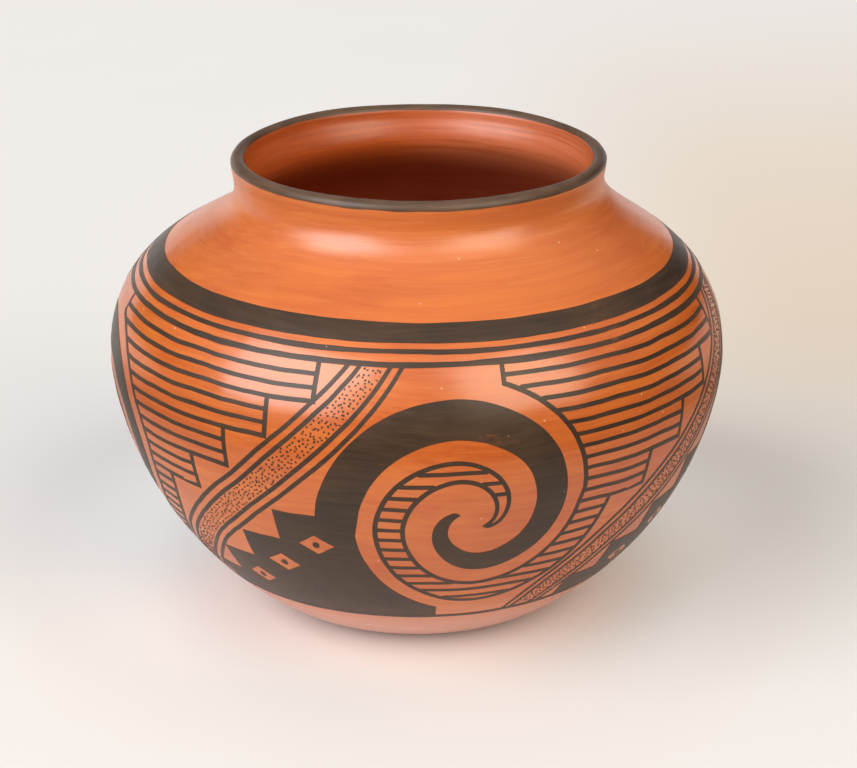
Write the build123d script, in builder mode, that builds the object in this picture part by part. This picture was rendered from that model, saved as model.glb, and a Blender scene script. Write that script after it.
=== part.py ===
"""A pueblo pottery jar, built as such jars are: a base pat pressed in a shallow mould, coils of clay
lapped one on the next to raise the wall, and a last coil that makes the rim.

The axis is +Z. The origin is the middle of the flat base, on the surface that the jar stands on.
"""

import os

from build123d import *

# Outer profile, in millimetres, as radii and heights
base_radius = 44.5  # edge of the flat base
base_round = 45.0  # turn from the flat base into the wall
foot_angle = 36.0  # degrees, slope of the wall where that turn ends
belly_radius = 130.0
belly_height = 111.4
jar_height = 196.4
neck_radius = 77.3  # narrowest place, under the lip
neck_drop = 11.0  # from the top of the lip down to that place
lip_flare = 0.9  # how far the lip stands out past the neck

# Fullness of the profile: how far each curve leans on its end tangent before it turns
foot_fullness = 60.5
belly_fullness_below = 15.0
belly_fullness_above = 53.0
neck_fullness = 23.0

# Clay
wall = 6.0
base_thickness = 8.0
coil_lap = 6.0  # how far each coil reaches down inside the one below it

# Coils, counted from the base up
base_pat_reach = 25.0  # wall that the mould shapes, past the turn of the base
lower_coils = 5
shoulder_coils = 4

# Outer line of the jar, with the radius across and the height up
up = Vector(0, 1)
lip_round = wall / 2  # the lip is rounded right over
belly = Vector(belly_radius, belly_height)
neck = Vector(neck_radius, jar_height - neck_drop)
lip = Vector(neck_radius + lip_flare, jar_height - lip_round)
neck_lean = (lip.Y - neck.Y) / 2

with BuildLine() as outer_line:
    base_line = Line((0, 0), (base_radius, 0))
    base_turn = JernArc(base_line @ 1, base_line % 1, base_round, foot_angle)
    foot = base_turn @ 1
    foot_lean = foot + (base_turn % 1) * foot_fullness
    lower_wall = Bezier(foot, foot_lean, belly - up * belly_fullness_below, belly)
    upper_wall = Bezier(belly, belly + up * belly_fullness_above, neck - up * neck_fullness, neck)
    neck_turn = Bezier(neck, neck + up * neck_lean, lip - up * neck_lean, lip)

# Places on the outer line, at each joint between coils and halfway along each coil
upper_coils = shoulder_coils + 1  # the neck coil is the highest of them
lower_steps = 2 * lower_coils
upper_steps = 2 * upper_coils
pat_end = base_pat_reach / lower_wall.length
stations = [(lower_wall, pat_end + (1 - pat_end) * step / lower_steps) for step in range(lower_steps)]
stations += [(upper_wall, step / upper_steps) for step in range(upper_steps + 1)]
joints = stations[::2]


def inside_point(line: Edge, place: float) -> Vector:
    """Point of the inner face, one wall in from a place on the outer line."""
    along = line % place
    inward = Vector(-along.Y, along.X)
    return line @ place + inward * wall


def joint_ends(line: Edge, place: float) -> tuple[Vector, Vector]:
    """Ends of a joint's slanted line through the wall, carried one wall past the clay each way."""
    outside = line @ place
    inside = inside_point(line, place) - (line % place) * coil_lap
    past_clay = (inside - outside).normalized() * wall
    return outside - past_clay, inside + past_clay


# Section of the whole wall, from the axis out to the lip and back along the inside
inner_points = [inside_point(line, place) for line, place in stations]
inner_tangents = [line % place for line, place in (stations[0], stations[-1])]
inner_lip = lip - Vector(wall, 0)

with BuildSketch() as jar_section:
    with BuildLine():
        add(outer_line.line)
        ThreePointArc(lip, lip + Vector(-lip_round, lip_round), inner_lip)
        inner_neck = inner_points[-1]
        Bezier(inner_lip, inner_lip - up * neck_lean, inner_neck + up * neck_lean, inner_neck)
        Spline(*inner_points, tangents=inner_tangents)
        floor_line = Line((0, base_thickness), (base_radius, base_thickness))
        Spline(floor_line @ 1, inner_points[0], tangents=[floor_line % 1, inner_tangents[0]])
        Line(floor_line @ 0, base_line @ 0)
    make_face()

# Region of the section that each piece of clay fills, as the corners of an outline round it
pieces = {}
first_out, first_in = joint_ends(*joints[0])
last_out, last_in = joint_ends(*joints[-1])

pieces["base_pat"] = [
    (0, -wall),
    (first_out.X, -wall),
    first_out,
    first_in,
    (0, first_in.Y),
]

coil_names = [f"lower_coil_{count + 1}" for count in range(lower_coils)]
coil_names += [f"shoulder_coil_{count + 1}" for count in range(shoulder_coils)]
coil_names += ["neck_coil"]
for coil_name, low_joint, high_joint in zip(coil_names, joints, joints[1:]):
    low_out, low_in = joint_ends(*low_joint)
    high_out, high_in = joint_ends(*high_joint)
    pieces[coil_name] = [low_out, high_out, high_in, low_in]

pieces["rim_coil"] = [
    last_out,
    (lip.X + wall, last_out.Y),
    (lip.X + wall, jar_height + wall),
    (last_in.X, jar_height + wall),
    last_in,
]

# Each piece of clay: its part of the section, turned about the axis
os.makedirs("parts", exist_ok=True)
for name, corners in pieces.items():
    with BuildPart() as piece:
        with BuildSketch(Plane.XZ):
            add(jar_section.sketch)
            with BuildLine():
                Polyline(*corners, close=True)
            make_face(mode=Mode.INTERSECT)
        revolve(axis=Axis.Z)
    piece.part.label = name
    export_step(piece.part, f"parts/{name}.step")
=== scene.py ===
"""Looks of a coil-built pottery jar: clay raised from lapped coils, polished red slip and black brushwork.

Sizes are in millimetres, and MM turns them into the frame's metres. The frame's Z axis is the jar's axis,
angles run round it from +X, and the picture is taken from the -Y side. A place on the clay is an angle and
a run, which is the way along the jar's section: from the middle of the base out, up, over the lip and down
the inside to the middle of the floor.
"""

import logging
import math
from dataclasses import dataclass
from enum import Enum
from typing import Any

import bpy
import numpy as np
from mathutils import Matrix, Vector
from mathutils.geometry import delaunay_2d_cdt


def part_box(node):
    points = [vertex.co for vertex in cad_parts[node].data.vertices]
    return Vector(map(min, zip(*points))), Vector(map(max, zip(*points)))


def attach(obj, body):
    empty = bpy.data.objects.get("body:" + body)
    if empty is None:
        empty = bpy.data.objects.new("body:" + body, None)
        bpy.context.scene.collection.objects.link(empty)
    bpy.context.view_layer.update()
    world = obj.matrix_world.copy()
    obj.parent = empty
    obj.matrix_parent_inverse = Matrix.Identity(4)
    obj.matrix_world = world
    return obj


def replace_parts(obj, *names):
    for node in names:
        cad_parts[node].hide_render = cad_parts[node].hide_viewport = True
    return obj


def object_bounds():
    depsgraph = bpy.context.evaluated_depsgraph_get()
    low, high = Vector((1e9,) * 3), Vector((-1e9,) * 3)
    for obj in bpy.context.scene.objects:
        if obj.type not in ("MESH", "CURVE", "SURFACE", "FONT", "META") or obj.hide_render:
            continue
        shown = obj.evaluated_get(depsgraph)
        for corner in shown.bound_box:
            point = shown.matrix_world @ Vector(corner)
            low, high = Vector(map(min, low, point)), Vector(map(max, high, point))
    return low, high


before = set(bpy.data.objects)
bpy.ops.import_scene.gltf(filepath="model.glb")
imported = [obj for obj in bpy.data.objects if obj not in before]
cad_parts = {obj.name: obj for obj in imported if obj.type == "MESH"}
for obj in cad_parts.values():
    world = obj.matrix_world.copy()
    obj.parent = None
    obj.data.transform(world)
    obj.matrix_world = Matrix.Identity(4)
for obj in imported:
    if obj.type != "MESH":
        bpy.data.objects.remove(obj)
cad_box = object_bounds()

log = logging.getLogger("jar")
Array = np.ndarray

MM = 0.001
BODY = "root"
BAKE_MAP = "OFBake"
BAKE_MARGIN = 0.02  # at each end of a strip of the bake map
UP = np.array([0.0, 1.0])
FULL_TURN = 2 * math.pi
NEAR_ZERO = 1e-6
RIGHT, BACK, ABOVE = (1.0, 0.0, 0.0), (0.0, 1.0, 0.0), (0.0, 0.0, 1.0)
WHITE = (1.0, 0.98, 0.96)


class Slot(Enum):
    """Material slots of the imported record."""

    SLIP = "red_slip"
    PAINT = "black_paint"


class Tone(Enum):
    """What a brush mark leaves on the clay."""

    PAINT = True
    BARE = False


class Motif(Enum):
    """Groups of brush marks that are one piece each."""

    SOLID = "solid_scrolls"
    HATCHED = "hatched_scrolls"
    SASH = "stippled_sashes"


class Field:
    """A shader value that varies over a surface and takes part in Python expressions."""

    def __init__(self, board: "Board", socket: bpy.types.NodeSocket | None) -> None:
        """Wraps one output socket of a board's node."""
        self.board = board
        self.socket = socket

    def _math(self, operation: str, *terms: "Field | float") -> "Field":
        """Adds a Math node for an operation on these terms."""
        return self.board.node("ShaderNodeMath", {"operation": operation}, dict(enumerate(terms)))

    def __add__(self, other: "Field | float") -> "Field":
        """Sum with a field or a number."""
        return self._math("ADD", self, other)

    def __radd__(self, other: float) -> "Field":
        """Sum with a number on the left."""
        return self._math("ADD", other, self)

    def __sub__(self, other: "Field | float") -> "Field":
        """Difference from a field or a number."""
        return self._math("SUBTRACT", self, other)

    def __rsub__(self, other: float) -> "Field":
        """Difference of a number and this field."""
        return self._math("SUBTRACT", other, self)

    def __mul__(self, other: "Field | float") -> "Field":
        """Product with a field or a number."""
        return self._math("MULTIPLY", self, other)

    def __rmul__(self, other: float) -> "Field":
        """Product with a number on the left."""
        return self._math("MULTIPLY", other, self)

    def at_least(self, floor: float) -> "Field":
        """This field, or a number where the field is lower."""
        return self._math("MAXIMUM", self, floor)

    def ramp(self, low: float, high: float) -> "Field":
        """Smooth step of this field from 0 at low to 1 at high."""
        settings = {"interpolation_type": "SMOOTHSTEP"}
        return self.board.node("ShaderNodeMapRange", settings, {0: self, 1: low, 2: high})


class Board:
    """A shader under construction: its nodes, and the fields that run between them."""

    def __init__(self, owner: bpy.types.Material | bpy.types.World) -> None:
        """Empties the node tree of a new material or world."""
        owner.use_nodes = True
        self.owner = owner
        self.tree = owner.node_tree
        self.tree.nodes.clear()

    def node(
        self,
        kind: str,
        settings: dict[str, Any] | None = None,
        sockets: dict[str | int, Any] | None = None,
        out: str | int = 0,
    ) -> Field:
        """Adds a node.

        Args:
            kind: the node's type.
            settings: the node's own properties, set before its sockets.
            sockets: values or fields for its input sockets, by name or place.
            out: the output socket that is wanted, by name or place.

        Returns:
            The field at that output.
        """
        made = self.tree.nodes.new(kind)
        for name, value in (settings or {}).items():
            setattr(made, name, value)
        for name, value in (sockets or {}).items():
            if isinstance(value, Field):
                self.tree.links.new(value.socket, made.inputs[name])
            else:
                made.inputs[name].default_value = value
        return Field(self, made.outputs[out] if made.outputs else None)

    def vector(self, operation: str, *terms: Any, out: str = "Vector") -> Field:
        """Adds a Vector Math node for an operation on these terms."""
        return self.node("ShaderNodeVectorMath", {"operation": operation}, dict(enumerate(terms)), out)

    def along(self, where: Field, way: tuple[float, float, float]) -> Field:
        """How far a vector field reaches along a way."""
        return self.vector("DOT_PRODUCT", where, way, out="Value")

    def where(self) -> Field:
        """Object coordinates, in metres."""
        return self.node("ShaderNodeTexCoord", out="Object")

    def place(self, around: float, up: float, drift: Field | None = None) -> Field:
        """Object coordinates measured in features.

        Args:
            around: length of a feature level with the ground, in millimetres.
            up: height of a feature, in millimetres.
            drift: a field that shifts the features, as a share of their size.

        Returns:
            A vector field.
        """
        scale = (1 / (around * MM), 1 / (around * MM), 1 / (up * MM))
        spread = self.vector("MULTIPLY", self.where(), scale)
        return spread if drift is None else self.vector("ADD", spread, drift)

    def noise(self, where: Field, detail: float = 2.0, rough: float = 0.5) -> Field:
        """Cloudy noise of feature size one over a vector field, from 0 to 1."""
        sockets = {"Vector": where, "Scale": 1.0, "Detail": detail, "Roughness": rough}
        return self.node("ShaderNodeTexNoise", {}, sockets)

    def specks(self, spread: float, size: float, share: float) -> Field:
        """Scattered small dots.

        Args:
            spread: usual distance between places that may have a dot, in millimetres.
            size: radius of a dot, in millimetres.
            share: how many of those places have one, from 0 to 1.

        Returns:
            A field that is 1 in the dots and 0 elsewhere.
        """
        sockets = {"Vector": self.place(spread, spread), "Scale": 1.0}
        near = self.node("ShaderNodeTexVoronoi", {}, sockets, "Distance")
        lot = self.node("ShaderNodeTexVoronoi", {}, sockets, "Color")
        chosen = self.along(lot, RIGHT)
        core, cut = 0.6, 0.02  # share of a dot that is full, and how sharply the share of places ends
        return (1 - near.ramp(core * size / spread, size / spread)) * (1 - chosen.ramp(share, share + cut))

    def blend(self, share: Field, first: Any, second: Any) -> Field:
        """Colour that goes from the first to the second as a share goes from 0 to 1."""
        return self.node("ShaderNodeMix", {"data_type": "RGBA"}, {0: share, 6: first, 7: second}, 2)

    def bump(self, height: Field, depth: float) -> Field:
        """Surface normal with relief of a depth in millimetres."""
        return self.node("ShaderNodeBump", {}, {"Height": height, "Distance": depth * MM})

    def finish(self, **sockets: Any) -> bpy.types.Material:
        """Ends the material with a Principled shader.

        Args:
            sockets: values or fields by socket name, with _ for a space.

        Returns:
            The material.
        """
        named = {name.replace("_", " "): value for name, value in sockets.items()}
        shader = self.node("ShaderNodeBsdfPrincipled", {}, named)
        self.node("ShaderNodeOutputMaterial", {}, {"Surface": shader})
        return self.owner


def colour(red: float, green: float, blue: float) -> tuple[float, float, float, float]:
    """Linear colour with full alpha."""
    return red, green, blue, 1.0


@dataclass(frozen=True)
class PolishedSlip:
    """Red slip, rubbed with a stone while it was damp and fired in the open."""

    name: str = "polished_red_slip"
    red: tuple = colour(0.475, 0.08, 0.005)
    orange: tuple = colour(0.625, 0.15, 0.014)
    blush: tuple = colour(0.68, 0.21, 0.06)
    grit: tuple = colour(0.82, 0.55, 0.4)
    pit: tuple = colour(0.12, 0.04, 0.02)
    # painted reflection of the pale floor in the slip near the foot
    painted_floor_reflection: tuple = colour(0.78, 0.41, 0.32)
    floor_reflection_height: tuple = (0.004, 0.038)  # metres above the ground, from the painted reflection of the pale floor to plain slip
    neck_wear: tuple = (0.15, 0.185)  # metres above the ground, from well rubbed to less rubbed slip
    gloss: float = 1.8  # the rubbed iron slip bends light more than glass
    smooth: float = 0.13  # roughness where it is best rubbed
    stroke_size: tuple = (60.0, 2.6)  # millimetres along and across a rub of the stone
    stroke_drift: float = 5.0  # how many of their own sizes the rubs stray as the hand sways
    scratch_size: tuple = (34.0, 0.6)
    scratch_drift: float = 16.0
    cloud_size: tuple = (58.0, 24.0)  # millimetres across and up, of the fire's blushes
    sway: float = 110.0  # millimetres, of the hand's swaying
    grit_specks: tuple = (8.0, 0.48, 0.3)  # spread and radius in millimetres, and share
    grit_share: float = 0.6
    pit_specks: tuple = (31.0, 0.6, 0.25)
    pit_share: float = 0.7
    # how much of the painted floor reflection the foot shows
    floor_reflection_share: float = 0.9
    relief: float = 0.024  # millimetres

    def material(self) -> bpy.types.Material:
        """Builds the slip: streaks of the stone, blushes of the fire, pale grit, a few pits, and a painted
        reflection of the floor at the foot.
        """
        board = Board(bpy.data.materials.new(self.name))
        clouds = board.noise(board.place(*self.cloud_size), 3.0)
        wander = board.noise(board.place(self.sway, self.sway), 1.0)
        strokes = board.noise(board.place(*self.stroke_size, wander * self.stroke_drift), 4.0, 0.6)
        scratch = board.noise(board.place(*self.scratch_size, wander * self.scratch_drift), 3.0, 0.6)
        grit = board.specks(*self.grit_specks)
        pits = board.specks(*self.pit_specks)
        height = board.along(board.where(), ABOVE)
        less = height.ramp(*self.neck_wear)
        fired = strokes.ramp(0.3, 0.7) * 0.5 + clouds.ramp(0.3, 0.7) * 0.5
        tint = board.blend(fired, self.red, self.orange)
        tint = board.blend(scratch.ramp(0.5, 0.78) * (0.3 + 0.3 * less) + 0.25 * less, tint, self.blush)
        # painted reflection: the slip turns paler towards the foot, where it mirrors the pale floor
        tint = board.blend((1 - height.ramp(*self.floor_reflection_height)) * self.floor_reflection_share, tint, self.painted_floor_reflection)
        tint = board.blend(grit * self.grit_share, tint, self.grit)
        tint = board.blend(pits * self.pit_share, tint, self.pit)
        return board.finish(
            Base_Color=tint,
            Roughness=self.smooth + 0.16 * strokes + 0.06 * scratch + 0.1 * less,
            IOR=self.gloss,
            Normal=board.bump(strokes * 0.6 + scratch * 0.4 - pits, self.relief),
        )


@dataclass(frozen=True)
class WipedClay:
    """Slip on the inside of the jar, wiped on with a rag and never rubbed with a stone."""

    name: str = "wiped_clay"
    thin: tuple = colour(0.36, 0.062, 0.009)
    full: tuple = colour(0.47, 0.084, 0.01)
    bare: tuple = colour(0.58, 0.16, 0.055)
    # painted light and sheen on the inner wall at the back right
    painted_light: tuple = colour(0.57, 0.15, 0.062)
    painted_light_side: tuple = (0.7, 0.71, 0.0)  # way from the axis to the back right of the inner wall, where the painted light lies
    painted_light_reach: tuple = (0.035, 0.076)  # metres that way, from plain slip to painted light
    gloss: float = 1.65
    matt: float = 0.3  # roughness where it is smoothest
    wipe_size: tuple = (90.0, 1.9)  # millimetres along and across
    wipe_drift: float = 4.0  # how many of their own sizes the wipes stray
    sway: float = 90.0  # millimetres, of the hand's swaying
    grain_size: tuple = (1.4, 1.0)
    relief: float = 0.05  # millimetres

    def material(self) -> bpy.types.Material:
        """Builds the inside: matt, with level marks of the rag where the clay shows through, and painted
        light at the back right.
        """
        board = Board(bpy.data.materials.new(self.name))
        wander = board.noise(board.place(self.sway, self.sway), 1.0)
        wipes = board.noise(board.place(*self.wipe_size, wander * self.wipe_drift), 4.0, 0.65)
        grain = board.noise(board.place(*self.grain_size), 3.0, 0.6)
        tint = board.blend(wipes.ramp(0.3, 0.7), self.thin, self.full)
        tint = board.blend(wipes.ramp(0.55, 0.8) * 0.5 + grain.ramp(0.5, 0.8) * 0.25, tint, self.bare)
        # painted light: the inner wall turns paler towards the back right, following the wipes
        lit_way = board.along(board.where(), self.painted_light_side)
        tint = board.blend(lit_way.ramp(*self.painted_light_reach) * wipes.ramp(0.2, 0.55), tint, self.painted_light)
        return board.finish(
            Base_Color=tint,
            Roughness=self.matt + 0.15 * grain,
            IOR=self.gloss,
            Normal=board.bump(wipes * 0.7 + grain * 0.3, self.relief),
        )


@dataclass(frozen=True)
class BrushedPaint:
    """Black mineral and plant paint, brushed over the slip, nearly matt, with a few rubbed places."""

    name: str
    black: tuple
    brown: tuple
    rubbed: tuple
    worn: tuple = (0.68, 0.78)  # from sound to rubbed, of the noise that places the rubbed patches
    worn_patch: float = 36.0  # millimetres
    matt: float = 0.27  # roughness where it is smoothest
    grit: tuple = colour(0.4, 0.33, 0.28)
    grit_specks: tuple = (7.0, 0.4, 0.25)  # spread and radius in millimetres, and share
    streak_size: tuple = (26.0, 1.5)  # millimetres along and across
    streak_drift: float = 7.0  # how many of their own sizes the streaks stray
    grain_size: tuple = (3.4, 1.5)
    sway: float = 80.0  # millimetres, of the hand's swaying
    relief: float = 0.025  # millimetres

    def material(self) -> bpy.types.Material:
        """Builds the paint: brush streaks, thin brown places, rubbed patches and pale grit."""
        board = Board(bpy.data.materials.new(self.name))
        wander = board.noise(board.place(self.sway, self.sway), 1.0)
        streaks = board.noise(board.place(*self.streak_size, wander * self.streak_drift), 4.0, 0.62)
        patches = board.noise(board.place(self.worn_patch, self.worn_patch), 2.0)
        grain = board.noise(board.place(*self.grain_size), 4.0, 0.7)
        thin = streaks.ramp(0.3, 0.75) * 0.6 + patches.ramp(0.3, 0.7) * 0.4
        tint = board.blend(thin, self.black, self.brown)
        worn = patches.ramp(*self.worn) * grain.ramp(0.42, 0.62)
        tint = board.blend(worn * 0.8, tint, self.rubbed)
        tint = board.blend(board.specks(*self.grit_specks) * 0.5, tint, self.grit)
        return board.finish(
            Base_Color=tint,
            Roughness=self.matt + 0.16 * streaks + 0.08 * grain,
            Normal=board.bump(streaks * 0.6 + grain * 0.4, self.relief),
        )


FRIEZE_PAINT = BrushedPaint(
    name="brushed_black_paint",
    black=colour(0.027, 0.0135, 0.006),
    brown=colour(0.068, 0.033, 0.014),
    rubbed=colour(0.25, 0.075, 0.026),
)
LIP_PAINT = BrushedPaint(
    name="worn_lip_paint",
    black=colour(0.06, 0.033, 0.019),
    brown=colour(0.13, 0.068, 0.038),
    rubbed=colour(0.26, 0.12, 0.065),
    worn_patch=14.0,
)


@dataclass(frozen=True)
class StudioPaper:
    """Pale seamless paper, with a painted pool of light round the jar's foot, a painted warm shadow to the
    right behind it, and painted shade that rays other than the camera's see further out.

    Ways on it are in metres from the jar's axis: out, to the right and to the back.
    """

    name: str = "studio_paper"
    pale: tuple = colour(0.77, 0.768, 0.776)
    paler: tuple = colour(0.788, 0.786, 0.794)
    # painted pool of light: paler paper round the jar's foot
    painted_light_pool: tuple = colour(0.94, 0.97, 0.985)
    # painted warm shadow on the paper to the right behind the jar
    warm_painted_shadow: tuple = colour(0.72, 0.63, 0.545)
    # painted shade: greys that rays other than the camera's see on the paper further out
    left_painted_shade: tuple = colour(0.18, 0.178, 0.175)
    right_painted_shade: tuple = colour(0.1, 0.098, 0.095)
    pool_middle: tuple = (0.0, 0.045, 0.0)  # of the painted pool of light, round the jar's foot
    pool: tuple = (0.11, 0.19)  # way from the pool's middle, from the painted pool of light to pale
    beside: tuple = (0.002, 0.016)  # square of the way across, from pale to the painted pool of light
    painted_shadow_right: tuple = (0.0, 0.23)  # way to the right, from pale to the painted warm shadow
    painted_shadow_back: tuple = (0.07, 0.36, 0.4, 1.3)  # way to the back, from pale to the painted warm shadow and to pale again
    fade: tuple = (0.16, 0.4)  # way out, from pale to painted shade, for rays other than the camera's
    behind: tuple = (0.1, 0.4)  # way to the back, from painted shade to pale
    sides: tuple = (-0.25, 0.25)  # way to the right, from one painted shade to the other
    mirrored: float = 0.2  # how much painted shade the jar's gloss sees in the near paper
    mottle_size: float = 120.0  # millimetres
    matt: float = 0.9

    def material(self) -> bpy.types.Material:
        """Builds the paper: pale and matt, with a painted pool of light, a painted warm shadow, and painted
        shade that the camera doesn't see.
        """
        board = Board(bpy.data.materials.new(self.name))
        mottle = board.noise(board.place(self.mottle_size, self.mottle_size), 2.0)
        out = board.vector("LENGTH", board.where(), out="Value")
        right = board.along(board.where(), RIGHT)
        back = board.along(board.where(), BACK)
        around = board.vector("DISTANCE", board.where(), self.pool_middle, out="Value")
        # painted pool of light beside the jar's foot
        pool = (right * right).ramp(*self.beside) * (1 - around.ramp(*self.pool))
        near, far = self.painted_shadow_back[:2], self.painted_shadow_back[2:]
        # painted warm shadow to the right behind the jar
        shaded = right.ramp(*self.painted_shadow_right) * back.ramp(*near) * (1 - back.ramp(*far))
        tint = board.blend(pool, board.blend(mottle, self.pale, self.paler), self.painted_light_pool)
        tint = board.blend(shaded, tint, self.warm_painted_shadow)
        # painted shade, seen only by rays other than the camera's: further out, and in the jar's gloss
        painted_shade = board.blend(right.ramp(*self.sides), self.left_painted_shade, self.right_painted_shade)
        unseen = 1 - board.node("ShaderNodeLightPath", out="Is Camera Ray")
        gloss = board.node("ShaderNodeLightPath", out="Is Glossy Ray")
        kept = (1 - unseen * out.ramp(*self.fade)) * (1 - gloss * self.mirrored)
        tint = board.blend((1 - kept) * (1 - back.ramp(*self.behind)), tint, painted_shade)
        return board.finish(Base_Color=tint, Roughness=self.matt)


class Tremor:
    """A smooth random field in space: the small wander of a hand, the same at each run."""

    spread = (0.6, 1.5)  # from the longest waves to the shortest, as shares of the usual

    def __init__(self, seed: int, reach: float, waves: int = 9) -> None:
        """Draws the field's waves.

        Args:
            seed: the start of its random numbers.
            reach: usual length of a wave, in millimetres.
            waves: how many waves are added up.
        """
        draw = np.random.default_rng(seed)
        ways = draw.normal(size=(waves, 3))
        ways /= np.linalg.norm(ways, axis=1, keepdims=True)
        self.ways = ways * FULL_TURN / reach * draw.uniform(*self.spread, (waves, 1))
        self.starts = draw.uniform(0, FULL_TURN, waves)

    def at(self, places: Array) -> Array:
        """Values of about -1 to 1 at some points in space, one per row."""
        return np.sin(places @ self.ways.T + self.starts).sum(-1) / math.sqrt(2 * len(self.starts))


def bezier(ends: tuple[Array, Array, Array, Array], step: float) -> Array:
    """Points of a cubic curve.

    Args:
        ends: its first point, two handles and last point.
        step: spacing of the points.

    Returns:
        The points, one per row.
    """
    first, lean, draw, last = (np.asarray(end, float) for end in ends)
    reach = np.linalg.norm(lean - first) + np.linalg.norm(draw - lean) + np.linalg.norm(last - draw)
    share = np.linspace(0, 1, max(2, math.ceil(reach / step) + 1))[:, None]
    left = 1 - share
    return left**3 * first + 3 * left**2 * share * lean + 3 * left * share**2 * draw + share**3 * last


def arc(middle: Array, radius: float, start: float, end: float, step: float) -> Array:
    """Points of an arc about a middle, between two angles in degrees."""
    count = max(2, math.ceil(radius * math.radians(abs(end - start)) / step) + 1)
    turns = np.radians(np.linspace(start, end, count))
    return np.asarray(middle, float) + radius * np.stack([np.cos(turns), np.sin(turns)], 1)


def polar(degrees: Array, radius: Array) -> Array:
    """Points at some angles and distances from the origin."""
    turns = np.radians(degrees)
    return np.stack([radius * np.cos(turns), radius * np.sin(turns)], 1)


def steps(start: float, end: float, step: float) -> Array:
    """Evenly spaced numbers from a start to an end, at most a step apart."""
    return np.linspace(start, end, max(2, math.ceil(abs(end - start) / step) + 1))


def eased(share: Array) -> Array:
    """Smooth step from 0 to 1 as a share goes from 0 to 1."""
    share = np.clip(share, 0, 1)
    return share * share * (3 - 2 * share)


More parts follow.
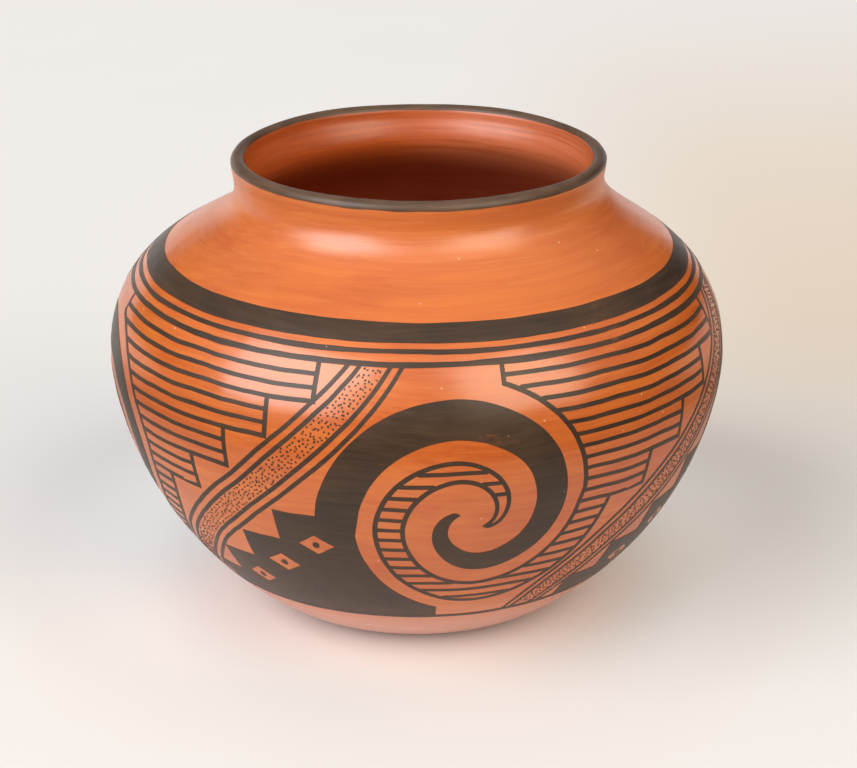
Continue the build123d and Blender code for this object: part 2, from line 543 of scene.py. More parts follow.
@dataclass
class JarForm:
    """The jar's surface: its section, as the frame has it, and the unevenness of hand building."""

    base_radius: float = 44.5
    base_round: float = 45.0
    foot_angle: float = 36.0
    foot_fullness: float = 60.5
    belly_fullness_below: float = 15.0
    belly_fullness_above: float = 53.0
    neck_fullness: float = 23.0
    lip_flare: float = 0.9
    wall: float = 6.0
    base_thickness: float = 8.0
    base_pat_reach: float = 25.0
    step: float = 0.25  # spacing of the points along the section
    neck_swell: float = 2.0  # clay that the hand pushed in under the lip
    neck_swell_span: tuple = (-26.0, -7.0, 6.0)  # heights from the neck, from none to all to none of it
    neck_shift: float = 2.2  # how far the foot of the neck stands to the right
    neck_shift_span: tuple = (-34.0, -14.0, 2.0)  # heights from the neck, from none to all to none of it
    lean: float = 0.9  # how far the rim stands to the right of the base
    rim_tilt: float = 0.002  # rise of the rim to the right, for each millimetre
    rim_wave: float = 0.2
    rim_wave_reach: float = 75.0
    swell: float = 0.3  # hand-built unevenness of the wall, in and out
    swell_reach: float = 95.0
    ripple: float = 0.05
    ripple_reach: float = 17.0
    settle: float = 30.0  # height over which the unevenness grows from none

    def __post_init__(self) -> None:
        """Takes the main sizes from the frame and traces the section."""
        self.belly_radius = cad_box[1].x / MM
        self.height = cad_box[1].z / MM
        self.belly_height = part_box("lower_coil_5")[1].z / MM
        self.neck_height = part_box("neck_coil")[1].z / MM
        self.lip_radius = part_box("rim_coil")[1].x / MM
        self.swells = Tremor(3, self.swell_reach)
        self.ripples = Tremor(4, self.ripple_reach)
        self.waves = Tremor(5, self.rim_wave_reach)
        self._trace()

    def _trace(self) -> None:
        """Lays out the section as one line with its runs, normals and marked places."""
        turned = math.radians(self.foot_angle)
        along = np.array([math.cos(turned), math.sin(turned)])
        belly = np.array([self.belly_radius, self.belly_height])
        neck = np.array([self.lip_radius - self.lip_flare, self.neck_height])
        lip = np.array([self.lip_radius, self.height - self.wall / 2])
        neck_lean = UP * (lip[1] - neck[1]) / 2
        base = np.stack([steps(0, self.base_radius, self.step)] * 2, 1) * [1, 0]
        turn = arc([self.base_radius, self.base_round], self.base_round, -90, self.foot_angle - 90, self.step)
        foot = turn[-1]
        low = (foot, foot + along * self.foot_fullness, belly - UP * self.belly_fullness_below, belly)
        high = (belly, belly + UP * self.belly_fullness_above, neck - UP * self.neck_fullness, neck)
        wall = np.vstack([bezier(low, self.step), bezier(high, self.step)[1:]])
        neck_turn = bezier((neck, neck + neck_lean, lip - neck_lean, lip), self.step)
        lip_round = arc(lip - [self.wall / 2, 0], self.wall / 2, 0, 180, self.step / 2)

        raised = np.cumsum(np.linalg.norm(np.diff(wall, axis=0, prepend=wall[:1]), axis=1))
        tangent = np.gradient(wall, axis=0)
        tangent /= np.linalg.norm(tangent, axis=1, keepdims=True)
        backed = raised >= self.base_pat_reach - self.wall
        inside = (wall + self.wall * np.stack([-tangent[:, 1], tangent[:, 0]], 1))[backed]
        inner_lip, inner_neck, inner_foot = lip - [self.wall, 0], inside[-1], inside[0]
        inner_turn = bezier((inner_lip, inner_lip - neck_lean, inner_neck + neck_lean, inner_neck), self.step)
        for span in (inner_turn, inside):
            swelling = np.interp(span[:, 1] - self.neck_height, self.neck_swell_span, (0, 1, 0))
            span[:, 0] -= self.neck_swell * eased(swelling)
        floor = base[::-1] + UP * self.base_thickness
        reach = np.linalg.norm(inner_foot - floor[0]) / 3
        cove_lean = inner_foot - tangent[backed][0] * reach
        cove = bezier((inner_foot, cove_lean, floor[0] + [reach, 0], floor[0]), self.step)

        spans = [base, turn, wall, neck_turn, lip_round, inner_turn, inside[::-1], cove, floor]
        self.line = np.vstack([spans[0]] + [span[1:] for span in spans[1:]])
        self.run = np.concatenate([[0], np.cumsum(np.linalg.norm(np.diff(self.line, axis=0), axis=1))])
        ends = np.cumsum([len(span) - 1 for span in spans])
        marks = self.run[ends]
        self.edge_run, self.foot_run, self.neck_run, self.lip_run, self.inner_lip_run = marks[:5]
        self.end_run = marks[-1]
        self.wall_runs = self.foot_run + raised[backed]
        self.inner_runs = self.run[ends[5]: ends[6] + 1][::-1]
        self.belly_run = self.foot_run + raised[np.argmax(wall[:, 0])]
        slope = np.gradient(self.line, self.run, axis=0)
        slope /= np.linalg.norm(slope, axis=1, keepdims=True)
        self.facing = np.stack([slope[:, 1], -slope[:, 0]], 1)

    def run_at(self, height: float) -> float:
        """Run of the place at a height on the outside."""
        outside = (self.run >= self.edge_run) & (self.run <= self.lip_run)
        return float(np.interp(height, self.line[outside, 1], self.run[outside]))

    def inner_run(self, run: float) -> float:
        """Run of the place on the inner face behind a place on the outer wall."""
        return float(np.interp(run, self.wall_runs, self.inner_runs))

    def even(self, angle: Array, run: Array) -> Array:
        """Points in space of places on the jar without its unevenness."""
        radius = np.interp(run, self.run, self.line[:, 0])
        height = np.interp(run, self.run, self.line[:, 1])
        return np.stack([radius * np.cos(angle), radius * np.sin(angle), height], -1)

    def place(self, angle: Array, run: Array, lift: Array | float = 0.0) -> Array:
        """Points in space of places on the jar.

        Args:
            angle: angles round the axis.
            run: runs along the section.
            lift: how far the points stand out from the clay.

        Returns:
            The points in millimetres, one per row.
        """
        even = self.even(angle, run)
        outward = np.interp(run, self.run, self.facing[:, 0])
        upward = np.interp(run, self.run, self.facing[:, 1])
        raised = eased(even[:, 2] / self.settle)
        uneven = (self.swell * self.swells.at(even) + self.ripple * self.ripples.at(even)) * raised + lift
        way = np.stack([outward * np.cos(angle), outward * np.sin(angle), upward], -1)
        moved = even + way * uneven[:, None]
        above = eased((even[:, 2] - self.belly_height) / (self.height - self.belly_height))
        ring = np.stack([self.lip_radius * np.cos(angle), self.lip_radius * np.sin(angle), 0 * angle], -1)
        moved[:, 2] += above * (even[:, 0] * self.rim_tilt + self.rim_wave * self.waves.at(ring))
        aside = np.interp(even[:, 2] - self.neck_height, self.neck_shift_span, (0, 1, 0))
        moved[:, 0] += above * self.lean + eased(aside) * self.neck_shift
        return moved

    def normals(self, angle: Array, run: Array) -> Array:
        """Unit normals of the jar's surface at some places."""
        turn, way = 0.002, 0.1  # small steps round the axis and along the section
        around = self.place(angle + turn, run) - self.place(angle - turn, run)
        onward = self.place(angle, run + way) - self.place(angle, run - way)
        facing = np.cross(around, onward)
        size = np.linalg.norm(facing, axis=1, keepdims=True)
        axial = np.array([0, 0, 1.0]) * np.interp(run, self.run, self.facing[:, 1])[:, None]
        return np.where(size > NEAR_ZERO, facing / np.maximum(size, NEAR_ZERO), axial)


@dataclass
class Skin:
    """A mesh in the making: places on the jar, and faces with what they show."""

    angles: Array
    runs: Array
    lifts: Array
    faces: list[tuple[int, ...]]
    smooth: list[bool]
    shown: list[int]  # which of the piece's finishes each face has
    chart: Array  # bake map, for each corner of each face

    def piece(
        self, name: str, form: JarForm, finishes: list[bpy.types.Material], slot: Slot
    ) -> bpy.types.Object:
        """Makes the mesh a piece that rides on the jar.

        Args:
            name: the piece's name.
            form: the jar's surface.
            finishes: its materials.
            slot: the record's slot for them; not used.

        Returns:
            The piece.
        """
        mesh = bpy.data.meshes.new(name)
        points = form.place(self.angles, self.runs, self.lifts) * MM
        mesh.from_pydata(points.tolist(), [], self.faces)
        mesh.polygons.foreach_set("use_smooth", self.smooth)
        mesh.polygons.foreach_set("material_index", self.shown)
        corners = np.concatenate([np.array(face) for face in self.faces])
        kept = np.repeat(self.smooth, [len(face) for face in self.faces])
        facing = form.normals(self.angles, self.runs)[corners] * kept[:, None]
        mesh.normals_split_custom_set(facing.tolist())
        chart = mesh.uv_layers.new(name=BAKE_MAP)
        chart.data.foreach_set("uv", np.asarray(self.chart, np.float32).ravel())
        for finish in finishes:
            mesh.materials.append(finish)
        made = bpy.data.objects.new(name, mesh)
        bpy.context.scene.collection.objects.link(made)
        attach(made, BODY)
        log.info("%s: %d faces", name, len(self.faces))
        return made


def turned_skin(
    form: JarForm, runs: Array, lifts: Array, flat: set[int], lined: set[int], closed: bool, sides: int
) -> Skin:
    """A skin turned about the axis.

    Args:
        form: the jar's surface.
        runs: the section's runs, one for each row, or one for each row and side.
        lifts: how far each row stands out.
        flat: rows whose faces up to the next row aren't smooth.
        lined: rows whose faces up to the next row have the piece's second finish.
        closed: whether the last row joins the first.
        sides: steps round the axis.

    Returns:
        The skin, with a bake map of four quarters, one above the other.
    """
    rows = len(lifts)
    table = np.broadcast_to(np.reshape(runs, (rows, -1)), (rows, sides))
    poles = np.interp(table[:, 0], form.run, form.line[:, 0]) < NEAR_ZERO
    strips = 4
    quarter = sides // strips
    faces, smooth, shown, chart = [], [], [], []
    for row in range(rows if closed else rows - 1):
        after = (row + 1) % rows
        for side in range(sides):
            onward = (side + 1) % sides
            ring = [(row, side, 0, 0), (row, onward, 1, 0), (after, onward, 1, 1), (after, side, 0, 1)]
            if poles[row]:
                ring = [(row, 0, 0.5, 0), *ring[2:]]
            if poles[after]:
                ring = [*ring[:2], (after, 0, 0.5, 1)]
            faces.append(tuple(a * sides + b for a, b, _, _ in ring))
            smooth.append(row not in flat)
            shown.append(int(row in lined))
            for _, _, across, up in ring:
                level = BAKE_MARGIN + (1 - 2 * BAKE_MARGIN) * (row + up) / rows
                chart.append(((side % quarter + across) / quarter, (side // quarter + level) / strips))
    angles = np.tile(np.linspace(0, FULL_TURN, sides, endpoint=False), rows)
    used = np.unique(np.concatenate([np.array(face) for face in faces]))
    number = np.zeros(rows * sides, int)
    number[used] = np.arange(len(used))
    faces = [tuple(int(number[corner]) for corner in face) for face in faces]
    lifts = np.repeat(lifts, sides)[used]
    return Skin(angles[used], table.ravel()[used], lifts, faces, smooth, shown, np.array(chart))


@dataclass
class ClayBody:
    """The clay: a base pat, coils lapped one inside the next, and the rim coil."""

    form: JarForm
    lower_coils: int = 5
    shoulder_coils: int = 4
    coil_lap: float = 6.0
    sides: int = 240
    outer_step: float = 2.0
    inner_step: float = 3.0
    lip_step: float = 0.6
    lip_wiped: float = 2.4  # reach of the inside's finish over the lip
    floor_step: float = 8.0

    def __post_init__(self) -> None:
        """Finds the joints between the coils, outside and inside."""
        form = self.form
        pat_end = form.foot_run + form.base_pat_reach
        lower = np.linspace(pat_end, form.belly_run, self.lower_coils + 1)
        upper = np.linspace(form.belly_run, form.neck_run, self.shoulder_coils + 2)
        self.outer = np.concatenate([lower, upper[1:]])
        self.inner = [form.inner_run(run - self.coil_lap) for run in self.outer]

    def build(self, finishes: list[bpy.types.Material]) -> None:
        """Builds every piece of clay over its node, with finishes for the outside and the inside."""
        self._base(finishes)
        names = [f"lower_coil_{count + 1}" for count in range(self.lower_coils)]
        names += [f"shoulder_coil_{count + 1}" for count in range(self.shoulder_coils)]
        for place, name in enumerate([*names, "neck_coil"]):
            self._coil(name, place, finishes)
        self._rim(finishes)

    def _base(self, finishes: list[bpy.types.Material]) -> None:
        """Builds the base pat, from the middle of the base round to the middle of the floor."""
        form = self.form
        under = steps(0, form.edge_run, self.floor_step)
        outside = steps(form.edge_run, self.outer[0], self.outer_step)[1:]
        floor_edge = form.end_run - form.base_radius
        inside = steps(self.inner[0], floor_edge, self.inner_step)
        floor = steps(floor_edge, form.end_run, self.floor_step)[1:]
        self._lay("base_pat", [under, outside], [inside, floor], finishes, closed=False)

    def _coil(self, name: str, place: int, finishes: list[bpy.types.Material]) -> None:
        """Builds one coil of the wall, between the joints at its place and the next."""
        outside = steps(self.outer[place], self.outer[place + 1], self.outer_step)
        inside = steps(self.inner[place + 1], self.inner[place], self.inner_step)
        self._lay(name, [outside], [inside], finishes)

    def _rim(self, finishes: list[bpy.types.Material]) -> None:
        """Builds the rim coil, over the lip and down to its joint inside."""
        form = self.form
        outside = steps(self.outer[-1], form.lip_run, self.outer_step)
        polish_end = form.inner_lip_run - self.lip_wiped
        lip = steps(form.lip_run, polish_end, self.lip_step)[1:]
        edge = steps(polish_end, form.inner_lip_run, self.lip_step)[1:]
        inside = steps(form.inner_lip_run, self.inner[-1], self.outer_step)[1:]
        self._lay("rim_coil", [outside, lip], [edge, inside], finishes, parted=False)

    def _lay(
        self,
        name: str,
        out: list[Array],
        back: list[Array],
        finishes: list[bpy.types.Material],
        closed: bool = True,
        parted: bool = True,
    ) -> None:
        """Makes a piece of clay.

        Args:
            name: the piece's name, which is its node's too.
            out: runs along the outside.
            back: runs back along the inside.
            finishes: its materials, outside and inside.
            closed: whether a joint closes the section.
            parted: whether a joint parts the outside from the inside.
        """
        runs = np.concatenate(out + back)
        last = len(runs) - 1
        turn = sum(map(len, out)) - 1
        joints = {row for row, there in ((turn, parted), (last, closed)) if there}
        lined = set(range(turn, last))
        skin = turned_skin(self.form, runs, np.zeros(len(runs)), joints, lined, closed, self.sides)
        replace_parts(skin.piece(name, self.form, finishes, Slot.SLIP), name)


@dataclass
class PaintedRings:
    """Brushed rings: the black lip, a broad shoulder band with a thin line, and the frieze's frame lines."""

    form: JarForm
    band_top: float = 157.6  # height of the broad band's upper edge
    band_width: float = 9.2
    line_gap: float = 2.5
    line_width: float = 2.1
    frame_gap: float = 2.9
    frame_width: float = 2.3
    frieze_foot: float = 26.9  # height of the lower frame line's upper edge
    lip_drop: float = 0.2  # reach of the black below the outer edge of the lip
    lip_short: float = 1.3  # how far the black stops before the inner edge of the lip
    wander: float = 0.22
    wander_reach: float = 48.0
    jitter: float = 0.5  # as a share of the wander
    jitter_reach: float = 13.0
    lift: float = 0.13
    sink: float = 0.06
    sides: int = 480
    step: float = 1.6
    lip_step: float = 0.6

    def __post_init__(self) -> None:
        """Works out where each ring lies."""
        self.band = self.form.run_at(self.band_top) - self.band_width
        self.line = self.band - self.line_gap - self.line_width
        self.upper_frame = self.line - self.frame_gap - self.frame_width
        self.lower_frame = self.form.run_at(self.frieze_foot) - self.frame_width

    def build(self, finish: bpy.types.Material, lip_finish: bpy.types.Material) -> None:
        """Builds every ring."""
        form = self.form
        lip_end = form.inner_lip_run - self.lip_short
        self._ring("lip_band", form.lip_run - self.lip_drop, lip_end, self.lip_step, lip_finish)
        rings = {
            "shoulder_band": (self.band, self.band_width),
            "shoulder_line": (self.line, self.line_width),
            "upper_frame_line": (self.upper_frame, self.frame_width),
            "lower_frame_line": (self.lower_frame, self.frame_width),
        }
        for name, (low, width) in rings.items():
            self._ring(name, low, low + width, self.step, finish)

    def _edge(self, run: float, seed: int) -> Array:
        """Runs of a ring's edge round the jar, as the hand draws it."""
        angles = np.linspace(0, FULL_TURN, self.sides, endpoint=False)
        spots = self.form.even(angles, np.full(self.sides, run))
        far, near = Tremor(seed, self.wander_reach), Tremor(seed + 1, self.jitter_reach)
        return self.wander * (far.at(spots) + self.jitter * near.at(spots)) + run

    def _ring(self, name: str, low: float, high: float, step: float, finish: bpy.types.Material) -> None:
        """Makes one ring.

        Args:
            name: the piece's name.
            low: run of its first edge.
            high: run of its other edge.
            step: spacing of its rows.
            finish: its material.
        """
        first, last = self._edge(low, int(low)), self._edge(high, int(high) + 2)
        share = np.linspace(0, 1, max(3, math.ceil((high - low) / step) + 1))[:, None]
        over = first + share * (last - first)
        rows = len(share)
        lifts = np.repeat([self.lift, -self.sink], rows)
        flat = set(range(rows - 1, 2 * rows))
        skin = turned_skin(self.form, np.vstack([over, over[::-1]]), lifts, flat, set(), True, self.sides)
        skin.piece(name, self.form, [finish], Slot.PAINT)


@dataclass(frozen=True)
class Mark:
    """One closed outline of the design, and what the brush leaves inside it."""

    motif: Motif
    outline: Array
    tone: Tone = Tone.PAINT

    def covers(self, spots: Array) -> Array:
        """Which of some spots lie inside the outline."""
        near = np.all((spots >= self.outline.min(0)) & (spots <= self.outline.max(0)), axis=1)
        across, up = spots[near].T
        inside = np.zeros(len(across), bool)
        for (x0, y0), (x1, y1) in zip(self.outline, np.roll(self.outline, -1, axis=0)):
            if y0 != y1:
                beside = across < (x1 - x0) * (up - y0) / (y1 - y0) + x0
                inside ^= ((y0 > up) != (y1 > up)) & beside
        covered = near.copy()
        covered[near] = inside
        return covered


def divided(corners: Array, step: float) -> Array:
    """Points along a closed outline, with its corners kept and no two further apart than a step."""
    spans = []
    for start, end in zip(corners, np.roll(corners, -1, axis=0)):
        count = max(1, math.ceil(np.linalg.norm(end - start) / step))
        spans.append(start + (end - start) * np.linspace(0, 1, count, endpoint=False)[:, None])
    return np.vstack(spans)


def stroke(path: Array, width: float) -> Array:
    """Outline of a brush stroke along an open path, round at both ends."""
    way = np.gradient(path, axis=0)
    way /= np.linalg.norm(way, axis=1, keepdims=True)
    side = np.stack([-way[:, 1], way[:, 0]], 1) * width / 2
    caps = []
    cap_turn = 60  # degrees to each side of the stroke's way
    for place, sign in ((-1, 1), (0, -1)):
        tilt = math.degrees(math.atan2(*(sign * way[place])[::-1]))
        caps.append(arc(path[place], width / 2, tilt - cap_turn, tilt + cap_turn, width / 2))
    return np.vstack([path - side, caps[0], (path + side)[::-1], caps[1]])


@dataclass
class Frieze:
    """The belly's design: pairs of interlocked stepped scrolls, solid and hatched, and stippled sashes.

    It is drawn flat, unrolled at the belly: across to the right and up the wall, from the middle of a pair.
    """

    form: JarForm
    low: float  # run of its lower edge
    high: float  # run of its upper edge
    units: int = 4
    first_angle: float = -80.0  # degrees, middle of the pair that faces the picture's side
    tuck: float = 1.2  # how far the marks reach under the frame lines
    stair_foot: float = -142.0
    stair_head: float = -64.0
    stairs: int = 4
    spiral_radius: float = 44.0
    spiral_pitch: float = 44.0
    spiral_end: float = -215.0  # degrees, from 180 at the outside
    arm_gap: float = 7.5
    face_turn: float = 78.0  # degrees that a scroll's foot follows the other scroll
    arm_root: float = 9.0  # half the width of a scroll's arm
    arm_tip: float = 1.0
    arm_taper: float = 0.6  # the lower, the longer an arm stays broad
    arm_thinnest: float = 0.3  # half the width at which an inset arm ends
    sweep_step: float = 2.0  # degrees
    face_start: int = 5  # steps that a scroll's foot leaves free of its arm
    contour: float = 2.0
    hatch_width: float = 1.8
    hatch_rows: int = 3  # for each stair
    diamonds: tuple = ((-106, -46), (-86, -31), (-66, -16))  # their middles
    diamond_size: tuple = (8.5, 5.5)  # half the width and height
    dot_radius: float = 1.7
    dot_step: int = 40  # degrees between the corners of a diamond's dot
    sash_middle: float = -102.0
    sash_reach: float = 74.0  # way across to the upper edge, before it bends
    sash_bend: float = 12.0
    sash_lines: tuple = (-9.8, -5.6, 5.6, 9.8)
    sash_line_width: float = 1.8
    sash_fill: float = 3.4
    dab: float = 0.5
    dab_step: float = 2.0
    dab_shift: float = 0.4  # along the sash, as a share of the step
    dab_scatter: float = 0.3
    dab_corners: int = 6
    dab_twist: float = 12.0  # degrees
    dab_spread: tuple = (0.6, 1.25)  # smallest and largest, as shares of the usual
    path_step: float = 3.0
    edge_step: float = 1.8
    grid_step: float = 3.6
    weld: float = 1e-4  # points nearer than this are one
    chart_half: float = 175.0  # half the width that a unit has in the bake map
    chart_spare: float = 5.0  # room above and below it there
    face_strip: tuple = (0.08, 0.9)  # start and height of the paint's face there, as shares
    back_strip: tuple = (0.01, 0.06)
    first_seed: int = 60
    lift: float = 0.1
    sink: float = 0.06
    wander: float = 0.32
    wander_reach: float = 36.0
    jitter: float = 0.09
    jitter_reach: float = 11.0

    def __post_init__(self) -> None:
        """Works out the design's own size, and how the hand strays across and up."""
        self.half = (self.high - self.low) / 2
        self.middle = (self.high + self.low) / 2
        self.wander_fields = [Tremor(seed, self.wander_reach) for seed in (21, 22)]
        self.jitter_fields = [Tremor(seed, self.jitter_reach) for seed in (23, 24)]

    def _half_width(self, degrees: Array) -> Array:
        """Half the width of a scroll's arm at an angle of its spiral."""
        share = np.clip((degrees - self.spiral_end) / (180 - self.spiral_end), 0, 1)
        return self.arm_tip + (self.arm_root - self.arm_tip) * share**self.arm_taper

    def _spiral(self, degrees: Array) -> Array:
        """Distance of a scroll's arm from the middle at an angle of its spiral."""
        return self.spiral_radius + self.spiral_pitch * (degrees - 90) / 360

    def _scroll(self, inset: float) -> Array:
        """Outline of the scroll that stands on the lower frame line.

        Args:
            inset: how far the outline is drawn in from the edge.

        Returns:
            Its corners.
        """
        bottom = -self.half - self.tuck
        treads = np.linspace(self.stair_foot, self.stair_head, self.stairs + 1)
        rises = np.linspace(-self.half, 0, self.stairs + 1)
        rises[0] = bottom
        stairs = []
        for count in range(self.stairs):
            stairs.append((treads[count] + inset, rises[count] - (inset if count else 0)))
            stairs.append((treads[count] + inset, rises[count + 1] - inset))
        sweep = steps(180, self.spiral_end, self.sweep_step)
        sweep = sweep[self._half_width(sweep) >= inset + self.arm_thinnest]
        spread = self._half_width(sweep) - inset
        outer = polar(sweep, self._spiral(sweep) + spread)
        inner = polar(sweep, self._spiral(sweep) - spread)[::-1]
        turn = steps(0, self.face_turn, self.sweep_step)
        hug = self._spiral(turn) + self._half_width(turn) + self.arm_gap
        side = polar(turn + 180, hug)[-1, 0] - inset
        face = polar(turn + 180, hug + inset)[self.face_start:]
        face = face[face[:, 0] <= side]
        return np.vstack([stairs, outer, inner, face, [(side, face[-1, 1]), (side, bottom)]])

    def _hatch(self, outline: Array) -> list[Array]:
        """Level brush paths that fill an outline from edge to edge, in step with the stairs."""
        pitch = self.half / self.stairs / self.hatch_rows
        ends, starts = np.roll(outline, -1, axis=0), outline
        first, last = math.ceil(starts[:, 1].min() / pitch) + 1, math.floor(starts[:, 1].max() / pitch)
        paths = []
        for level in np.arange(first, last + 1) * pitch - self.contour / 2:
            cut = (starts[:, 1] > level) != (ends[:, 1] > level)
            span = ends[cut] - starts[cut]
            hits = np.sort(starts[cut, 0] + span[:, 0] * (level - starts[cut, 1]) / span[:, 1])
            for begin, end in zip(hits[::2], hits[1::2]):
                if end - begin > 2 * self.hatch_width:
                    across = steps(begin, end, self.path_step)
                    paths.append(np.stack([across, np.full(len(across), level)], 1))
        return paths

    def _sash_line(self, offset: float) -> Array:
        """Path beside the sash's middle, from the lower frame line to the upper one."""
        rise = steps(-self.half - self.tuck, self.half + self.tuck, self.path_step)
        share = rise / self.half
        across = self.sash_middle + self.sash_reach * share - self.sash_bend * share**3
        middle = np.stack([across, rise], 1)
        way = np.gradient(middle, axis=0)
        lean = np.linalg.norm(way, axis=1) / way[:, 1]
        return middle + np.stack([offset * lean, 0 * rise], 1)

    def _dabs(self, draw: np.random.Generator) -> list[Array]:
        """Outlines of the sash's stippling."""
        dabs = []
        corners = self.dab_corners
        for offset in steps(-self.sash_fill, self.sash_fill, self.dab_step):
            path = self._sash_line(offset)
            reach = np.concatenate([[0], np.cumsum(np.linalg.norm(np.diff(path, axis=0), axis=1))])
            for spot in np.arange(self.dab_step, reach[-1] - self.dab_step, self.dab_step):
                spot += draw.uniform(-self.dab_shift, self.dab_shift) * self.dab_step
                middle = np.array([np.interp(spot, reach, path[:, axis]) for axis in (0, 1)])
                middle += draw.normal(0, self.dab_scatter, 2)
                turn = np.sort(draw.uniform(0, self.dab_twist, corners)) + np.arange(corners) * 360 / corners
                dabs.append(middle + polar(turn, self.dab * draw.uniform(*self.dab_spread, corners)))
        return dabs

    def _marks(self, draw: np.random.Generator) -> list[Mark]:
        """Every mark of one pair of scrolls and its sash, in the order of painting."""
        marks = [Mark(Motif.SOLID, self._scroll(0.0))]
        wide, tall = self.diamond_size
        diamond = np.array([(-wide, 0), (0, -tall), (wide, 0), (0, tall)])
        dot = polar(np.arange(0, 360, self.dot_step), self.dot_radius)
        for middle in np.array(self.diamonds):
            marks.append(Mark(Motif.SOLID, middle + diamond, Tone.BARE))
            marks.append(Mark(Motif.SOLID, middle + dot))
        lined = self._scroll(self.contour)
        marks.append(Mark(Motif.HATCHED, -self._scroll(0.0)))
        marks.append(Mark(Motif.HATCHED, -lined, Tone.BARE))
        marks += [Mark(Motif.HATCHED, stroke(-path, self.hatch_width)) for path in self._hatch(lined)]
        for side in self.sash_lines:
            marks.append(Mark(Motif.SASH, stroke(self._sash_line(side), self.sash_line_width)))
        marks += [Mark(Motif.SASH, dab) for dab in self._dabs(draw)]
        return marks

    def _triangles(self, marks: list[Mark]) -> tuple[Array, dict[Motif, Array]]:
        """Cuts the marks into triangles.

        Args:
            marks: the marks, in the order of painting.

        Returns:
            Flat points, and for each motif its triangles of them.
        """
        outlines = [divided(mark.outline, self.edge_step) for mark in marks]
        starts = np.cumsum([0] + [len(outline) for outline in outlines])
        edges = [
            (start + place, start + (place + 1) % len(outline))
            for start, outline in zip(starts.tolist(), outlines)
            for place in range(len(outline))
        ]
        rim = np.vstack(outlines)
        lines = [np.arange(low, high, self.grid_step) for low, high in zip(rim.min(0), rim.max(0))]
        grid = np.stack(np.meshgrid(*lines), -1).reshape(-1, 2)
        apart = (self.grid_step / 2) ** 2
        clear = np.array([np.min(np.sum((rim - spot) ** 2, axis=1)) > apart for spot in grid])
        points = [Vector(spot) for spot in np.vstack([rim, grid[clear]])]
        cut, _, faces, *_ = delaunay_2d_cdt(points, edges, [], 0, self.weld, False)
        flat = np.array([tuple(point) for point in cut])
        triangles = np.array(faces)
        centres = flat[triangles].mean(axis=1)
        owner = np.full(len(triangles), -1)
        for mark in marks:
            owner[mark.covers(centres)] = list(Motif).index(mark.motif) if mark.tone.value else -1
        return flat, {motif: triangles[owner == place] for place, motif in enumerate(Motif)}

    def _shell(self, flat: Array, triangles: Array, unit: int) -> Skin:
        """Thin closed shell of paint over one unit's triangles of a motif.

        Args:
            flat: the unit's flat points.
            triangles: the motif's triangles of them.
            unit: which of the units round the jar it is.

        Returns:
            The shell, with a bake map in the unit's own strip: the face of the paint over its back.
        """
        used, triangles = np.unique(triangles, return_inverse=True)
        triangles = triangles.reshape(-1, 3)
        flat = flat[used]
        count = len(flat)
        ways = np.concatenate([triangles[:, [0, 1]], triangles[:, [1, 2]], triangles[:, [2, 0]]])
        twins = set(map(tuple, ways[:, ::-1].tolist()))
        rim = [way for way in map(tuple, ways.tolist()) if way not in twins]
        faces = triangles.tolist() + (triangles[:, ::-1] + count).tolist()
        faces += [(b, a, a + count, b + count) for a, b in rim]
        smooth = [True] * len(triangles) + [False] * (len(triangles) + len(rim))
        reach = np.array([self.chart_half, self.half + self.chart_spare])
        across, up = ((flat + reach) / (2 * reach)).T
        charts = [
            np.stack([across, (unit + start + height * up) / self.units], 1)
            for start, height in (self.face_strip, self.back_strip)
        ]
        chart = np.vstack(charts)[np.concatenate([np.array(face) for face in faces])]
        turned = math.radians(self.first_angle + 360 * unit / self.units)
        angles = turned + flat[:, 0] / self.form.belly_radius
        runs = self.middle + flat[:, 1]
        even = self.form.even(angles, runs)
        shift = [
            self.wander * far.at(even) + self.jitter * near.at(even)
            for far, near in zip(self.wander_fields, self.jitter_fields)
        ]
        angles = angles + shift[0] / self.form.belly_radius
        lifts = np.repeat([self.lift, -self.sink], count)
        shown = [0] * len(faces)
        return Skin(np.tile(angles, 2), np.tile(runs + shift[1], 2), lifts, faces, smooth, shown, chart)

    def build(self, finish: bpy.types.Material) -> None:
        """Paints every unit, and makes one piece of each motif."""
        shells = {motif: [] for motif in Motif}
        for unit in range(self.units):
            flat, parts = self._triangles(self._marks(np.random.default_rng(self.first_seed + unit)))
            for motif, triangles in parts.items():
                shells[motif].append(self._shell(flat, triangles, unit))
        for motif, parts in shells.items():
            joined(parts).piece(motif.value, self.form, [finish], Slot.PAINT)


def joined(parts: list[Skin]) -> Skin:
    """One skin of several."""
    starts = np.cumsum([0] + [len(part.angles) for part in parts]).tolist()
    faces = [
        tuple(corner + start for corner in face)
        for part, start in zip(parts, starts)
        for face in part.faces
    ]
    return Skin(
        np.concatenate([part.angles for part in parts]),
        np.concatenate([part.runs for part in parts]),
        np.concatenate([part.lifts for part in parts]),
        faces,
        [kept for part in parts for kept in part.smooth],
        [index for part in parts for index in part.shown],
        np.vstack([part.chart for part in parts]),
    )


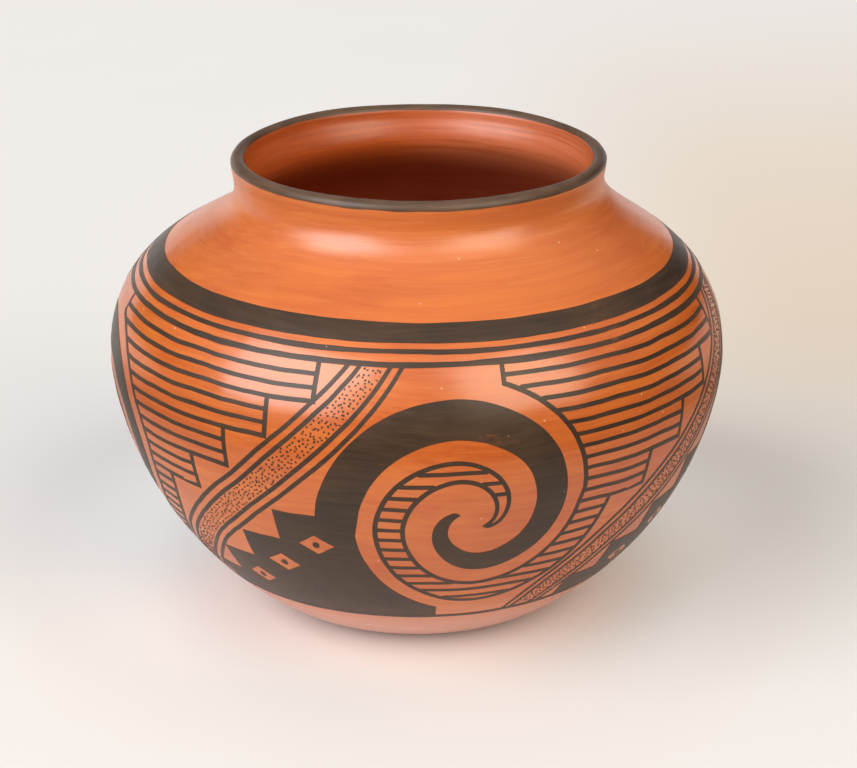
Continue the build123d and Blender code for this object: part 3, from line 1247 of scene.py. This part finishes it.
@dataclass(frozen=True)
class Softbox:
    """A soft lamp."""

    name: str
    azimuth: float  # degrees to the right of the camera's side
    rise: float  # degrees above the ground
    width: float
    height: float
    power: float  # watts
    tint: tuple[float, float, float]
    distance: float = 5000.0
    aim: tuple[float, float, float] = (0.0, 0.0, 103.0)
    spread: float = 180.0  # degrees

    def hang(self) -> None:
        """Hangs the lamp at its distance from what it is aimed at."""
        data = bpy.data.lights.new(self.name, "AREA")
        data.shape = "RECTANGLE"
        data.size = self.width * MM
        data.size_y = self.height * MM
        data.energy = self.power
        data.color = self.tint
        data.spread = math.radians(self.spread)
        turn, tilt = math.radians(self.azimuth), math.radians(self.rise)
        way = Vector((math.sin(turn) * math.cos(tilt), -math.cos(turn) * math.cos(tilt), math.sin(tilt)))
        lamp = bpy.data.objects.new(self.name, data)
        lamp.location = (Vector(self.aim) + way * self.distance) * MM
        lamp.rotation_euler = way.to_track_quat("Z", "Y").to_euler()
        lamp.visible_camera = False
        bpy.context.scene.collection.objects.link(lamp)


@dataclass
class Studio:
    """Camera, paper, lamps and room light."""

    eye: tuple[float, float, float] = (5.0, -1000.0, 472.8)
    look_down: float = 20.84  # degrees
    lens: float = 104.43
    sensor: float = 36.0
    near_clip: float = 50.0
    paper_radius: float = 30000.0
    paper_step: float = 0.1  # between its corners, as a share of the radius
    paper_end: float = 354.0  # degrees, where its last corner lies
    room_light: float = 0.14
    room_lean: tuple[float, float, float] = (-0.03, -0.25, 0.48)  # lighter above and in front
    room_foot: tuple[float, float] = (0.0, 0.2)  # where it grows light above the ground, as a sine
    room_low: float = 0.2  # share of its light that is left at the ground
    room_tint: tuple = colour(*WHITE)
    backdrop: float = 0.8  # how light the room is where it shows past the paper
    lamps: tuple[Softbox, ...] = (
        Softbox("left_softbox", -51.5, 29.5, 4340.0, 4570.0, 263.0, (1.0, 0.99, 0.98)),
        Softbox("right_softbox", 41.0, 30.5, 3550.0, 4430.0, 159.0, (1.0, 0.87, 0.68)),
        Softbox("back_softbox", 180.0, 90.0, 2400.0, 1000.0, 2.2, WHITE, 1500.0, (0.0, 1500.0, 0.0), 130.0),
        Softbox("back_card", -171.0, 3.0, 3400.0, 900.0, 8.5, WHITE, 2500.0),
    )

    def build(self) -> None:
        """Sets up everything that isn't the jar."""
        self._camera()
        self._paper()
        self._room()
        for lamp in self.lamps:
            lamp.hang()

    def _camera(self) -> None:
        """Puts the camera where the picture was taken from."""
        data = bpy.data.cameras.new("camera")
        data.lens = self.lens
        data.sensor_width = self.sensor
        data.clip_start = self.near_clip * MM
        camera = bpy.data.objects.new("camera", data)
        camera.location = Vector(self.eye) * MM
        camera.rotation_euler = (math.radians(90 - self.look_down), 0, 0)
        bpy.context.scene.collection.objects.link(camera)
        bpy.context.scene.camera = camera

    def _paper(self) -> None:
        """Lays the paper that the jar stands on."""
        mesh = bpy.data.meshes.new("paper")
        radius = self.paper_radius * MM
        corners = arc([0, 0], radius, 0, self.paper_end, self.paper_step * radius)
        mesh.from_pydata([(*corner, 0) for corner in corners.tolist()], [], [tuple(range(len(corners)))])
        mesh.materials.append(StudioPaper().material())
        paper = bpy.data.objects.new("paper", mesh)
        bpy.context.scene.collection.objects.link(paper)

    def _room(self) -> None:
        """Fills the room with dim light, and keeps colours as they are written."""
        world = bpy.data.worlds.new("room")
        board = Board(world)
        way = board.node("ShaderNodeTexCoord", out="Generated")
        light = board.along(way, self.room_lean) + self.room_light
        rise = board.along(way, ABOVE)
        light = light.at_least(0.0) * (self.room_low + (1 - self.room_low) * rise.ramp(*self.room_foot))
        seen = board.node("ShaderNodeLightPath", out="Is Camera Ray")
        light = light + seen * (self.backdrop - light)
        glow = board.node("ShaderNodeBackground", {}, {"Color": self.room_tint, "Strength": light})
        board.node("ShaderNodeOutputWorld", {}, {"Surface": glow})
        bpy.context.scene.world = world
        bpy.context.scene.view_settings.view_transform = "Standard"


def main() -> None:
    """Builds the jar and the studio, and logs how many faces each piece has."""
    logging.basicConfig(level=logging.INFO, format="%(message)s")
    form = JarForm()
    paint = FRIEZE_PAINT.material()
    ClayBody(form).build([PolishedSlip().material(), WipedClay().material()])
    rings = PaintedRings(form)
    rings.build(paint, LIP_PAINT.material())
    Frieze(form, rings.lower_frame + rings.frame_width, rings.upper_frame).build(paint)
    Studio().build()


if __name__ == "__main__":
    main()
